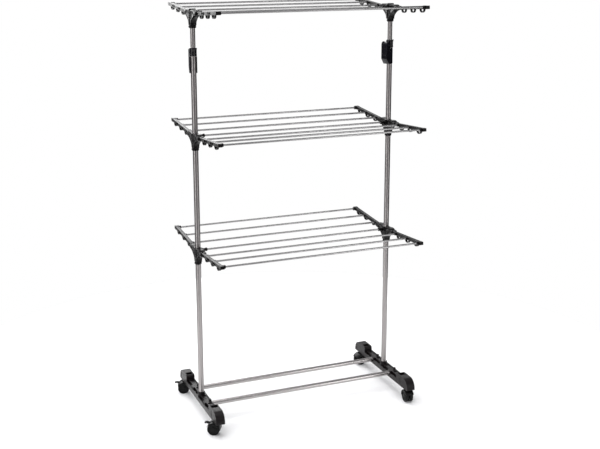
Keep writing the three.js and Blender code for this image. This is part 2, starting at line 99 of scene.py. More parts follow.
# ------------------------------------------------------------------ node materials
class Graph:
    """A material with a Principled shader, and short calls to add nodes to it."""

    def __init__(self, name):
        self.material = bpy.data.materials.new(name)
        self.material.use_nodes = True
        self.nodes = self.material.node_tree.nodes
        self.links = self.material.node_tree.links
        self.shader = self.nodes["Principled BSDF"]
        self.place = self.add("ShaderNodeTexCoord").outputs["Object"]

    def add(self, kind, **settings):
        node = self.nodes.new(kind)
        for key, value in settings.items():
            setattr(node, key, value)
        return node

    def join(self, source, target):
        self.links.new(source, target)

    def scaled(self, scale):
        """Object coordinates stretched by a scale per axis."""
        node = self.add("ShaderNodeMapping")
        node.inputs["Scale"].default_value = scale
        self.join(self.place, node.inputs["Vector"])
        return node.outputs["Vector"]

    def noise(self, scale, stretch=(1, 1, 1), detail=3.0, rough=0.55):
        node = self.add("ShaderNodeTexNoise")
        node.inputs["Scale"].default_value = scale
        node.inputs["Detail"].default_value = detail
        node.inputs["Roughness"].default_value = rough
        self.join(self.scaled(stretch), node.inputs["Vector"])
        return node.outputs["Fac"]

    def ramp(self, source, stops):
        """Colour by value, between (value, colour) stops."""
        node = self.add("ShaderNodeValToRGB")
        while len(node.color_ramp.elements) < len(stops):
            node.color_ramp.elements.new(0.5)
        for element, (at, colour) in zip(node.color_ramp.elements, stops):
            element.position = at
            element.color = (*colour, 1) if len(colour) == 3 else colour
        self.join(source, node.inputs["Fac"])
        return node.outputs["Color"]

    def spread(self, source, low, high, from_low=0.0, from_high=1.0):
        """Maps from_low to low and from_high to high, in a straight line."""
        node = self.add("ShaderNodeMapRange")
        node.inputs["From Min"].default_value = from_low
        node.inputs["From Max"].default_value = from_high
        node.inputs["To Min"].default_value = low
        node.inputs["To Max"].default_value = high
        self.join(source, node.inputs["Value"])
        return node.outputs["Result"]

    def mix(self, amount, first, second, mode="MIX"):
        node = self.add("ShaderNodeMix", data_type="RGBA", blend_type=mode)
        inputs = node.inputs
        for socket, value in ((inputs[0], amount), (inputs[6], first), (inputs[7], second)):
            if isinstance(value, (int, float)):
                socket.default_value = value
            elif isinstance(value, tuple):
                socket.default_value = (*value, 1)
            else:
                self.join(value, socket)
        return node.outputs[2]

    def bump(self, *layers):
        """Stacks (height output, strength, distance) layers on the shader's normal."""
        normal = None
        for height, strength, distance in layers:
            node = self.add("ShaderNodeBump")
            node.inputs["Strength"].default_value = strength
            node.inputs["Distance"].default_value = distance
            self.join(height, node.inputs["Height"])
            if normal is not None:
                self.join(normal, node.inputs["Normal"])
            normal = node.outputs["Normal"]
        self.join(normal, self.shader.inputs["Normal"])

    def edges(self, radius):
        """Runs from 0 on flats to about 1 on convex and concave edges."""
        bevel = self.add("ShaderNodeBevel", samples=4)
        bevel.inputs["Radius"].default_value = radius
        geometry = self.add("ShaderNodeNewGeometry")
        dot = self.add("ShaderNodeVectorMath", operation="DOT_PRODUCT")
        self.join(bevel.outputs["Normal"], dot.inputs[0])
        self.join(geometry.outputs["Normal"], dot.inputs[1])
        return self.spread(dot.outputs["Value"], 1.0, 0.0, 0.82, 0.995)

    def set(self, **values):
        for key, value in values.items():
            socket = self.shader.inputs[key.replace("_", " ")]
            if isinstance(value, tuple):
                value = (*value, 1)
            socket.default_value = value


def steel(name, colour, rough, along, streak):
    """Drawn steel tube. along is the stretch of its grain, small along the tube, and streak
    is how far the roughness varies with the grain."""
    g = Graph(name)
    g.set(Metallic=1.0, Specular_Tint=(0.35, 0.35, 0.36))
    grain = g.noise(40, along, detail=1)
    cloud = g.noise(9, (1, 1, 1), detail=3)
    smear = g.noise(60, along, detail=2)
    shade = g.ramp(cloud, [(0.3, tuple(c * 0.95 for c in colour)), (0.72, colour)])
    tint = g.ramp(grain, [(0.3, (0.94, 0.94, 0.94)), (0.7, (1, 1, 1))])
    g.join(g.mix(0.6, shade, tint, "MULTIPLY"), g.shader.inputs["Base Color"])
    rough_mix = g.add("ShaderNodeMath", operation="ADD")
    g.join(g.spread(grain, rough - streak, rough + streak, 0.3, 0.7), rough_mix.inputs[0])
    g.join(g.spread(smear, -0.015, 0.02, 0.35, 0.75), rough_mix.inputs[1])
    g.join(rough_mix.outputs[0], g.shader.inputs["Roughness"])
    return g.material


def plastic(name, dark, light, rough, grain_depth, wear, coat=0.0):
    """Moulded black plastic with a fine texture, faint mottling and rubbed edges."""
    g = Graph(name)
    g.set(Coat_Weight=coat, Coat_Roughness=0.16, Specular_IOR_Level=0.15)
    mottle = g.noise(38, detail=4)
    fine = g.noise(1900, detail=2, rough=0.6)
    scuff = g.noise(150, (1, 0.25, 0.6), detail=5, rough=0.7)
    body = g.ramp(mottle, [(0.3, dark), (0.75, light)])
    rubbed = g.mix(g.edges(0.0011), (0.0, 0.0, 0.0), (wear, wear, wear))
    colour = g.mix(1.0, body, rubbed, "ADD")
    g.join(colour, g.shader.inputs["Base Color"])
    rough_mix = g.add("ShaderNodeMath", operation="ADD")
    g.join(g.spread(mottle, rough - 0.05, rough + 0.05, 0.3, 0.7), rough_mix.inputs[0])
    g.join(g.spread(scuff, -0.05, 0.09, 0.42, 0.72), rough_mix.inputs[1])
    g.join(rough_mix.outputs[0], g.shader.inputs["Roughness"])
    g.bump((fine, 0.35, grain_depth), (scuff, 0.10, 0.00008), (mottle, 0.06, 0.0004))
    return g.material


ALONG_Z = (1, 1, 0.012)
EVEN = (1, 1, 1)
BLACK_DARK, BLACK_LIGHT = (0.0036, 0.0032, 0.0034), (0.0062, 0.0054, 0.0058)
FOOT_DARK, FOOT_LIGHT = (0.0056, 0.0042, 0.0046), (0.0094, 0.0070, 0.0076)
GLOSS_DARK, GLOSS_LIGHT = (0.0036, 0.0036, 0.006), (0.006, 0.006, 0.010)
WHEEL_DARK, WHEEL_LIGHT = (0.0025, 0.0025, 0.0025), (0.005, 0.005, 0.005)
LOOKS = {
    "post": steel("polished_post", (0.40, 0.378, 0.374), 0.32, ALONG_Z, 0.012),
    "base": steel("base_tube_steel", (0.43, 0.41, 0.405), 0.2, ALONG_Z, 0.025),
    "rod": steel("drawn_rod_steel", (0.36, 0.355, 0.355), 0.24, ALONG_Z, 0.03),
    "screw": steel("screw_steel", (0.16, 0.16, 0.165), 0.36, EVEN, 0.06),
    "black": plastic("moulded_black", BLACK_DARK, BLACK_LIGHT, 0.29, 0.00004, 0.008),
    "foot": plastic("foot_black", FOOT_DARK, FOOT_LIGHT, 0.33, 0.00005, 0.010),
    "gloss": plastic("gloss_black", GLOSS_DARK, GLOSS_LIGHT, 0.18, 0.00001, 0.004, 0.4),
    "wheel": plastic("wheel_black", WHEEL_DARK, WHEEL_LIGHT, 0.42, 0.00005, 0.006),
}


# ------------------------------------------------------------------ mesh helpers, in millimetres
def arc(centre, radius, start, end, steps):
    """Points on an arc, angles in degrees."""
    angles = [math.radians(start + (end - start) * i / steps) for i in range(steps + 1)]
    return [(centre[0] + radius * math.cos(a), centre[1] + radius * math.sin(a)) for a in angles]


def prism(outline, low, high):
    """Closed solid with its outline in X-Y, from low to high along Z."""
    bm = bmesh.new()
    bottom = [bm.verts.new((x, y, low)) for x, y in outline]
    top = [bm.verts.new((x, y, high)) for x, y in outline]
    bm.faces.new(bottom[::-1])
    bm.faces.new(top)
    count = len(outline)
    for i in range(count):
        j = (i + 1) % count
        bm.faces.new((bottom[i], bottom[j], top[j], top[i]))
    bmesh.ops.recalc_face_normals(bm, faces=bm.faces)
    return bm


def lathe(profile, steps=48):
    """Closed solid of revolution about Z. The profile is a loop of (radius, height)."""
    bm = bmesh.new()
    rings = []
    for radius, height in profile:
        if radius < 1e-6:
            rings.append([bm.verts.new((0, 0, height))] * steps)
            continue
        ring = []
        for k in range(steps):
            a = 2 * math.pi * (k + 0.5) / steps
            ring.append(bm.verts.new((radius * math.cos(a), radius * math.sin(a), height)))
        rings.append(ring)
    for i in range(len(rings)):
        first, second = rings[i], rings[(i + 1) % len(rings)]
        if first[0] is first[1] and second[0] is second[1]:
            continue
        for k in range(steps):
            n = (k + 1) % steps
            corners = []
            for v in (first[k], first[n], second[n], second[k]):
                if v not in corners:
                    corners.append(v)
            bm.faces.new(corners)
    bmesh.ops.recalc_face_normals(bm, faces=bm.faces)
    return bm


def disc(radius, low, high, steps=40, chamfer=0.0):
    """Cylinder about Z, with both rims chamfered if a chamfer is given."""
    if not chamfer:
        return lathe([(0, low), (radius, low), (radius, high), (0, high)], steps)
    face = radius - chamfer
    rim = [(radius, low + chamfer), (radius, high - chamfer)]
    return lathe([(0, low), (face, low), *rim, (face, high), (0, high)], steps)


def block(x0, x1, y0, y1, z0, z1):
    """Box between two corners."""
    return prism([(x0, y0), (x1, y0), (x1, y1), (x0, y1)], z0, z1)


X_FROM_Z = Matrix(((0, 0, 1, 0), (1, 0, 0, 0), (0, 1, 0, 0), (0, 0, 0, 1)))
Y_FROM_Z = Matrix(((1, 0, 0, 0), (0, 0, -1, 0), (0, 1, 0, 0), (0, 0, 0, 1)))


def along_x(bm, at=(0, 0, 0)):
    """Turns a solid built on Z so that it runs along X and its outline lies in Y-Z."""
    bmesh.ops.transform(bm, matrix=Matrix.Translation(at) @ X_FROM_Z, verts=bm.verts)
    return bm


def along_y(bm, at=(0, 0, 0)):
    """Turns a solid built on Z so that it runs along -Y and its outline lies in X-Z."""
    bmesh.ops.transform(bm, matrix=Matrix.Translation(at) @ Y_FROM_Z, verts=bm.verts)
    return bm


def raw_object(name, bm):
    mesh = bpy.data.meshes.new(name)
    bm.to_mesh(mesh)
    bm.free()
    obj = bpy.data.objects.new(name, mesh)
    bpy.context.collection.objects.link(obj)
    return obj


def drop(obj):
    mesh = obj.data
    bpy.data.objects.remove(obj)
    bpy.data.meshes.remove(mesh)


def baked(obj):
    """The object's mesh with its modifiers applied."""
    bpy.context.view_layer.update()
    graph = bpy.context.evaluated_depsgraph_get()
    return bpy.data.meshes.new_from_object(obj.evaluated_get(graph))


def carve(name, adds, cuts=(), bevel=0.5, segments=2, angle=32):
    """Joins the first solids, cuts the others out and rounds the sharp edges. Returns a mesh."""
    base = raw_object(name, adds[0])
    helpers = []
    for mode, solids in (("UNION", adds[1:]), ("DIFFERENCE", cuts)):
        for bm in solids:
            helper = raw_object("helper", bm)
            helpers.append(helper)
            cutter = base.modifiers.new("join", "BOOLEAN")
            cutter.operation = mode
            cutter.solver = "EXACT"
            cutter.object = helper
    if helpers:
        solid = baked(base)
        old = base.data
        base.modifiers.clear()
        base.data = solid
        bpy.data.meshes.remove(old)
    for helper in helpers:
        drop(helper)
    bm = bmesh.new()
    bm.from_mesh(base.data)
    bmesh.ops.remove_doubles(bm, verts=bm.verts, dist=0.01)
    bmesh.ops.dissolve_degenerate(bm, edges=bm.edges, dist=0.01)
    bmesh.ops.dissolve_limit(bm, angle_limit=math.radians(0.5), verts=bm.verts, edges=bm.edges)
    bm.to_mesh(base.data)
    bm.free()
    if bevel:
        rounder = base.modifiers.new("round", "BEVEL")
        rounder.limit_method = "ANGLE"
        rounder.angle_limit = math.radians(angle)
        rounder.width = bevel
        rounder.segments = segments
        rounder.use_clamp_overlap = True
        rounder.miter_outer = "MITER_ARC"
    mesh = baked(base)
    drop(base)
    return mesh


def finish_mesh(mesh):
    """Metres, clean vertices, and smooth shading broken at sharp edges."""
    bm = bmesh.new()
    bm.from_mesh(mesh)
    bmesh.ops.remove_doubles(bm, verts=bm.verts, dist=0.004)
    bmesh.ops.dissolve_degenerate(bm, edges=bm.edges, dist=0.002)
    bmesh.ops.scale(bm, vec=(MM, MM, MM), verts=bm.verts)
    wide = [f for f in bm.faces if len(f.verts) > 4]
    bmesh.ops.triangulate(bm, faces=wide)
    for face in bm.faces:
        face.smooth = True
    bm.to_mesh(mesh)
    bm.free()
    mesh.set_sharp_from_angle(angle=math.radians(34))
    return mesh


def piece(name, mesh, look, body, matrix=None, nodes=()):
    """Puts a finished mesh in the scene, riding on a body."""
    obj = bpy.data.objects.new(name, mesh)
    bpy.context.collection.objects.link(obj)
    if matrix is not None:
        obj.matrix_world = matrix
    if not mesh.materials:
        mesh.materials.append(LOOKS[look])
    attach(obj, body)
    if nodes:
        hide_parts(*nodes)
    return obj


def lathe_mesh(profile, steps=48):
    """Finished mesh of revolution about Z."""
    mesh = bpy.data.meshes.new("turned")
    bm = lathe(profile, steps)
    bm.to_mesh(mesh)
    bm.free()
    return finish_mesh(mesh)


def tube_mesh(radius, wall, length, steps):
    """Tube about Z, centred on the origin, with rounded lips."""
    half, lip = length / 2, min(wall * 0.4, 0.35)
    inner = radius - wall
    profile = [
        (inner, -half + lip), (inner + lip, -half), (radius - lip, -half), (radius, -half + lip),
        (radius, half - lip), (radius - lip, half), (inner + lip, half), (inner, half - lip),
    ]
    return lathe_mesh(profile, steps)


def at(x, y, z, turn=None):
    """World matrix for a place in millimetres, with an optional turn first."""
    move = Matrix.Translation(Vector((x, y, z)) * MM)
    return move @ turn if turn is not None else move


LIE_ALONG_X = Matrix.Rotation(math.pi / 2, 4, "Y")

# ------------------------------------------------------------------ tubes and rods
OUTER_RADIUS = 11.0
INNER_RADIUS = 9.7
for side in SIDES:
    for kind, radius, body in (("outer", OUTER_RADIUS, "frame"), ("inner", INNER_RADIUS, "top_section")):
        node = f"post_{kind}_{side}"
        low, high = span(node, 2)
        mesh = tube_mesh(radius, 1.0, high - low, 72)
        spot = at(POST_X[side], 0, (low + high) / 2)
        piece(f"{node}_tube", mesh, "post", body, spot, [node])

BASE_RADIUS = 9.5
for end in ENDS:
    node = f"base_tube_{end}"
    low, high = span(node, 0)
    centre = middle(node)
    mesh = tube_mesh(BASE_RADIUS, 1.0, high - low, 64)
    spot = at(centre.x, centre.y, centre.z, LIE_ALONG_X)
    piece(f"{node}_tube", mesh, "base", "frame", spot, [node])

ROD_RADIUS = 3.8


def rod_piece(node, body):
    """Hanging rod in the place of its CAD node."""
    low, high = span(node, 0)
    centre = middle(node)
    mesh = tube_mesh(ROD_RADIUS, 0.6, high - low, 28)
    spot = at(centre.x, centre.y, centre.z, LIE_ALONG_X)
    piece(f"{node}_bar", mesh, "rod", body, spot, [node])


for tier in TIERS:
    rod_piece(f"rod_{tier}_middle", "top_section" if tier == "top" else "frame")
    for end in ENDS:
        for station in ("inner", "mid", "outer"):
            rod_piece(f"rod_{tier}_{end}_{station}", f"wing_{tier}_{end}")

# ------------------------------------------------------------------ wing side beams
HINGE_OUT = 70.0
TILT = math.radians(4)
ROD_STATIONS = (30.0, 130.0, 230.0)
LOOP_STATIONS = (50.0, 125.0, 200.0)


def beam_mesh(inward, outward):
    """Side beam of a wing, hinge on the X axis, running along outward, rods on the inward side."""
    def u(points):
        return [(outward * a, b) for a, b in points]

    def run(a, b):
        return (min(a * inward, b * inward), max(a * inward, b * inward))

    profile = arc((14, -2.5), 4, 180, 270, 4) + arc((240, -2.5), 4, 270, 360, 6)
    profile += arc((241, 3), 3, 0, 90, 6) + arc((13, 3), 3, 90, 180, 4)
    adds = [along_x(prism(u(profile), -6.9, 6.9))]
    # tongue that enters the hub's slot
    tongue = arc((0, 0), 6.9, 90, 270, 16) + [(12, -4.6), (12, 4.6)]
    adds.append(along_x(prism(u(tongue), -4, 4)))
    cuts = [along_x(disc(3.3, -6, 6, 24))]
    # shallow hanger loops below the beam
    for station in LOOP_STATIONS:
        for wide, deep, top, solids, half in ((16.5, 11, -4.5, adds, 4), (12.9, 7.4, -6.5, cuts, 5)):
            loop = [(station + wide, top)]
            for k in range(19):
                a = math.pi * k / 18
                loop.append((station + wide * math.cos(a), -8.5 - deep * math.sin(a)))
            loop.append((station - wide, top))
            solids.append(along_x(prism(u(loop), -half, half)))
        # web that stiffens the loop's root
        for a, b in ((-18.5, -14), (14, 18.5)):
            root = [(station + a, -6), (station + b, -6), (station + (a + b) / 2, -9.5)]
            adds.append(along_x(prism(u(root), -3, 3)))
    for station in ROD_STATIONS:
        outer = station == ROD_STATIONS[-1]
        reach = 16.0 if outer else 12.0
        radius = 7.2 if outer else 6.0
        near, far = run(0, reach)
        adds.append(along_x(disc(radius, near, far, 36, 0.9), (0, outward * station, 0)))
        near, far = run(-1.3, reach + 1)
        cuts.append(along_x(disc(4.05, near, far, 28), (0, outward * station, 0)))
        near, far = run(reach - 0.9, reach + 1)
        cuts.append(along_x(disc(4.6, near, far, 28), (0, outward * station, 0)))
    # end cap, a little proud of the beam
    cap = arc((225, -4.2), 2.8, 180, 270, 3) + arc((240.3, -3.3), 3.7, 270, 360, 6)
    cap += arc((240.5, 3.1), 3.5, 0, 90, 6) + arc((225, 3.8), 2.8, 90, 180, 3)
    near, far = run(-7.6, 8.6)
    adds.append(along_x(prism(u(cap), near, far)))
    # sunk panels on the outer face, each with a cross rib left standing
    near, far = run(-8, -4.1)
    for start, end, ribs in ((70, 105, 1), (145, 180, 1), (17, 32, 0)):
        width = (end - start - ribs * 3) / (ribs + 1)
        for k in range(ribs + 1):
            a = start + k * (width + 3)
            panel = arc((a + 1.6, -2.6), 1.6, 180, 270, 3) + arc((a + width - 1.6, -2.6), 1.6, 270, 360, 3)
            panel += arc((a + width - 1.6, 2.2), 1.6, 0, 90, 3) + arc((a + 1.6, 2.2), 1.6, 90, 180, 3)
            cuts.append(along_x(prism(u(panel), near, far)))
    # shallow groove along the top face
    low, high = sorted((outward * 20, outward * 218))
    cuts.append(block(-2.6, 2.6, low, high, 5.3, 9))
    return finish_mesh(carve("beam", adds, cuts, 0.45, 2))


BEAMS = {(i, o): beam_mesh(i, o) for i in (-1, 1) for o in (-1, 1)}
for tier in TIERS:
    for end, outward in ENDS.items():
        hinge, _ = joint_place(f"wing_{tier}_{end}_hinge")
        tilt = Matrix.Rotation(outward * TILT, 4, "X")
        wing = f"wing_{tier}_{end}"
        for side, sign in SIDES.items():
            node = f"arm_{tier}_{end}_{side}"
            spot = at(POST_X[side], hinge.y, hinge.z, tilt)
            mesh = BEAMS[(-sign, outward)]
            piece(f"{node}_beam", mesh, "black", wing, spot, [node])

# ------------------------------------------------------------------ hubs
HUB_HALF = 12.0
STUB_REACH = 38.0


def hub_mesh(is_top):
    """V-shaped bracket round a post, its middle rod's stub pointing to +X."""
    side = [(13.5, -46), (14.2, -38), (17, -32), (23, -26), (31, -20), (41, -14)]
    side += [(52, -9.6), (62, -7.8), (67, -7.2)] + arc((HINGE_OUT, 1), 8.2, -70, 110, 14)
    side += [(60, 9), (56, 10.4), (51, 12.8), (48, 13.3), (32, 13.4), (28, 12.8), (20, 11)]
    outline = side + [(-y, z) for y, z in reversed(side)]
    adds = [along_x(prism(outline, -HUB_HALF, HUB_HALF))]
    collar = [
        (0, -57), (12.6, -57), (13.4, -56.2), (14, -54.5), (14, -47), (13.4, -46), (13.4, -45),
        (14, -44), (14, 10.4), (13.2, 11.4), (0, 11.4),
    ]
    adds.append(lathe(collar, 56))
    stub = [
        (0, 4), (6, 4), (6, 30), (6.6, 31.2), (7.2, 31.8), (7.2, 37), (6.5, STUB_REACH), (0, STUB_REACH),
    ]
    adds.append(along_x(lathe(stub, 36)))
    for up in (-1, 1):
        rib = [(11, up * 10), (26, up * 5), (11, up * 5)]
        adds.append(along_y(prism(rib, -1.5, 1.5)))
    if is_top:
        cap = [(0, 9), (14, 9), (14.3, 10), (14.3, 14.4), (13.4, 16), (11.6, 16.8), (5, 17), (0, 17)]
        adds.append(lathe(cap, 56))
        cuts = [disc(10, -60, 6, 48)]
    else:
        cuts = [disc(11.25, -60, 14, 56)]
    cuts.append(along_x(disc(4.05, STUB_REACH - 12, STUB_REACH + 1, 28)))
    for sign in (-1, 1):
        cuts.append(block(-4.3, 4.3, min(sign * 60, sign * 82), max(sign * 60, sign * 82), -22, 22))
        # sunk triangular panel between the ribs of the V, with a stepped rim
        panel = [(17.5, -27), (25, -21.5), (36, -14.5), (47, -9), (51, -4), (51, 4), (30, 6.4), (17.5, 7)]
        outer = [(sign * y, z) for y, z in panel]
        for x0, x1 in ((HUB_HALF - 1.6, HUB_HALF + 2), (-HUB_HALF - 2, -HUB_HALF + 1.6)):
            cuts.append(along_x(prism(outer if sign > 0 else outer[::-1], x0, x1)))
    mesh = carve("hub", adds, cuts, 0.6, 2)
    return finish_mesh(mesh)


PIN_HEAD = [(3, 11.4), (4.3, 11.4), (4.3, 11.9), (3.9, 12.5), (2.6, 12.9), (0, 12.9)]
PIN_MESH = lathe_mesh([(r, -z) for r, z in reversed(PIN_HEAD)] + PIN_HEAD, 32)


def screw_mesh():
    """Pan-head cross-recess screw, head towards +Z."""
    head = [(0, -3), (2.2, -3), (2.2, 0), (3.6, 0), (3.7, 0.6), (3.3, 1.4), (2.4, 1.9), (0, 2.1)]
    cross = [block(-2.1, 2.1, -0.4, 0.4, 1.0, 3), block(-0.4, 0.4, -2.1, 2.1, 1.0, 3)]
    return finish_mesh(carve("screw", [lathe(head, 32)], cross, 0.08, 1))


SCREW_MESH = screw_mesh()
HUBS = {False: hub_mesh(False), True: hub_mesh(True)}
for tier in TIERS:
    height = middle(f"rod_{tier}_middle").z
    body = "top_section" if tier == "top" else "frame"
    for side, sign in SIDES.items():
        node = f"hub_{tier}_{side}"
        turn = Matrix.Rotation(0 if sign < 0 else math.pi, 4, "Z")
        spot = at(POST_X[side], 0, height, turn)
        piece(f"{node}_bracket", HUBS[tier == "top"], "black", body, spot, [node])
        for end, outward in ENDS.items():
            spot = at(POST_X[side], outward * HINGE_OUT, height + 1, LIE_ALONG_X)
            piece(f"{node}_{end}_pin", PIN_MESH, "black", body, spot)
        face_out = Matrix.Rotation(sign * math.pi / 2, 4, "Y")
        screw_spot = at(POST_X[side] + sign * 13.4, 0, height - 51, face_out)
        piece(f"{node}_screw", SCREW_MESH, "screw", body, screw_spot)

# ------------------------------------------------------------------ feet
FOOT_HALF = 255.0
FOOT_SIDE = 18.0
SPINE_X = -8.0


def foot_mesh(tube_side):
    """Foot with arched ends. The cross tubes enter on the side of X that tube_side gives."""
    def between(near, far):
        return sorted((sign * near, sign * far))

    adds = [block(SPINE_X, FOOT_SIDE, -157, 157, 56, 84)]
    adds.append(block(-FOOT_SIDE, SPINE_X + 1, -157, 157, 56, 76))
    collar = [(0, 60), (15.2, 60), (15.2, 86), (14.8, 91), (14.2, 93.2), (13, 94), (0, 94)]
    adds.append(lathe(collar, 56))
    cuts = []
    tube_out = middle("base_tube_back").y
    for sign in (-1, 1):
        outline = [(155, 56)] + arc((164, 93), 9, 180, 90, 6) + arc((217, 64), 38, 90, 0, 18)
        outline += [(FOOT_HALF, 58.5), (FOOT_HALF - 2.5, 56)]
        adds.append(along_x(prism([(sign * y, z) for y, z in outline], -FOOT_SIDE, FOOT_SIDE)))
        tube_y = sign * tube_out
        adds.append(block(-FOOT_SIDE + 3, SPINE_X + 1, tube_y - 13, tube_y + 13, 56, 84))
        lug = [(tube_y - 6, 80)] + arc((tube_y - 3, 89), 3, 180, 90, 4)
        lug += arc((tube_y + 3, 89), 3, 90, 0, 4) + [(tube_y + 6, 80)]
        adds.append(along_x(prism(lug, 7, 15)))
        for near, far in ((20, 66), (97, 150)):
            y0, y1 = between(near, far)
            centre = (y0 + y1) / 2
            for a, b in ((y0, centre - 1.5), (centre + 1.5, y1)):
                cuts.append(block(-FOOT_SIDE + 3, SPINE_X, a, b, 62, 78))
            cuts.append(block(-5, FOOT_SIDE - 4, y0 + 2, y1 - 2, 50, 78))
            # tray between the rails on the spine's top
            cuts.append(block(-4.5, FOOT_SIDE - 3.5, y0 + 2, y1 - 2, 81, 88))
        r0, r1 = between(164, 187)
        cuts.append(block(-FOOT_SIDE + 4, FOOT_SIDE - 4, r0, r1, 91, 106))
        # shallow panel on both flanks of the arch
        flank = [(188, 62), (243, 62)] + arc((213, 64), 31, 8, 84, 8) + [(188, 95)]
        outline = [(sign * y, z) for y, z in flank]
        cuts.append(along_x(prism(outline, FOOT_SIDE - 0.9, FOOT_SIDE + 2)))
        cuts.append(along_x(prism(outline, -FOOT_SIDE - 2, -FOOT_SIDE + 0.9)))
        low, high = (-6, FOOT_SIDE + 2) if tube_side > 0 else (-FOOT_SIDE - 2, 6)
        cuts.append(along_x(disc(9.85, low, high, 48), (0, tube_y, 72)))
        h0, h1 = between(160, 250)
        cuts.append(block(-FOOT_SIDE + 4, FOOT_SIDE - 4, h0, h1, 50, 76))
    cuts.append(disc(11.25, 61.7, 100, 56))
    return finish_mesh(carve("foot", adds, cuts, 1.2, 3))


def caster_socket_mesh():
    ring = [(4.5, 56.2), (8.4, 56.2), (9, 57), (9, 76.5), (4.5, 76.5)]
    return lathe_mesh(ring, 40)


SOCKET_MESH = caster_socket_mesh()
for side, sign in SIDES.items():
    node = f"foot_{side}"
    spot = at(POST_X[side], 0, 0)
    piece(f"{node}_moulding", foot_mesh(-sign), "foot", "frame", spot, [node])
    for end, outward in ENDS.items():
        hinge, _ = joint_place(f"caster_{'front' if outward < 0 else 'rear'}_{side}_swivel")
        spot = at(hinge.x, hinge.y, 0)
        piece(f"{node}_{end}_socket", SOCKET_MESH, "foot", "frame", spot)
        for out in (44, 122):
            spot = at(POST_X[side] + 5, outward * out, 81)
            piece(f"{node}_{end}_screw_{out}", SCREW_MESH, "screw", "frame", spot)

# ------------------------------------------------------------------ casters
TRAIL = 15.0


def fork_mesh(axle_z, brake):
    """Caster hood and stem about its swivel, trailing to +X, with a brake pedal if asked."""
    hood = arc((TRAIL, axle_z), 28, 26, 180, 26)
    hood += [(TRAIL - 27, axle_z - 3), (TRAIL - 12, axle_z - 10), (TRAIL + 5, axle_z - 6.5)]
    adds = [along_y(prism(hood, -18, 18))]
    adds.append(lathe([(0, 40), (10.5, 40), (10.5, 53), (9.2, 55.7), (0, 55.7)], 40))
    adds.append(disc(4, 50, 76, 32, 0.8))
    cuts = []
    for low, high in ((4.1, 22), (-22, -4.1)):
        cuts.append(along_y(disc(25.7, low, high, 72), (TRAIL, 0, axle_z)))
    cuts.append(along_y(disc(3.2, -24, 24, 24), (TRAIL, 0, axle_z)))
    if brake:
        tail = 25 + TRAIL
        pedal = [(tail - 8, 44.8), (tail + 3, 47.6)] + arc((tail + 8.3, 50.2), 4, 235, 330, 6)
        pedal += [(tail + 11.8, 49.4), (tail + 8, 51.4), (tail + 1, 51.2), (tail - 12, 47.8)]
        adds.append(along_y(prism(pedal, -7, 7)))
        for k in range(3):
            x = tail + 1.2 + 2.4 * k
            adds.append(block(x, x + 1.0, -6, 6, 50, 51.9))
    return finish_mesh(carve("fork", adds, cuts, 0.7, 2))


def wheel_profile(radius):
    """One wheel, from its inner face at 4.6 to its outer face at 17, on Z."""
    return [
        (3, 4.6), (7.5, 4.6), (8, 5.2), (19.5, 5.2), (20, 4.6), (radius - 1.2, 4.6), (radius, 5.8),
        (radius, 9.8), (radius - 0.5, 10.2), (radius - 0.5, 10.9), (radius, 11.3), (radius, 14.8),
        (radius - 1.4, 16.6), (radius - 3, 17), (20.6, 17), (20, 16.4), (19.4, 13.8), (18.8, 13.4),
        (10.4, 12.8), (9.8, 13.2), (9.4, 15.6), (8.6, 16.4), (3.4, 16.9), (0, 17), (0, 4.6),
    ]


def wheel_mesh(radius):
    """Twin wheels on their axle, axis on Z, with spokes in the dished outer faces."""
    adds = [lathe([(0, -16), (3, -16), (3, 16), (0, 16)], 32)]
    for sign in (-1, 1):
        profile = [(r, sign * a) for r, a in wheel_profile(radius)]
        adds.append(lathe(profile, 72))
        for k in range(6):
            bm = block(9, 20, -1.3, 1.3, *sorted((sign * 11.7, sign * 14.5)))
            bmesh.ops.rotate(bm, matrix=Matrix.Rotation(math.pi * k / 3, 3, "Z"), verts=bm.verts)
            adds.append(bm)
    return finish_mesh(carve("wheels", adds, (), 0.0))


for name in ("front_left", "rear_left", "front_right", "rear_right"):
    pivot, _ = joint_place(f"caster_{name}_swivel")
    axle, _ = joint_place(f"wheels_{name}_spin")
    heading = math.atan2(axle.y - pivot.y, axle.x - pivot.x)
    turn = Matrix.Rotation(heading, 4, "Z")
    fork = fork_mesh(axle.z, "left" in name)
    node = f"caster_fork_{name}"
    spot = at(pivot.x, pivot.y, 0, turn)
    piece(f"{node}_hood", fork, "black", f"caster_{name}", spot, [node])
    node = f"caster_wheels_{name}"
    spot = at(axle.x, axle.y, axle.z, turn @ Matrix.Rotation(-math.pi / 2, 4, "X"))
    pair = wheel_mesh(axle.z)
    piece(f"{node}_pair", pair, "wheel", f"wheels_{name}", spot, [node])

# ------------------------------------------------------------------ height clamps
CLAMP_LOW, CLAMP_HIGH = 1474.0, 1506.0
OUTER_POST_TOP = 1500.0


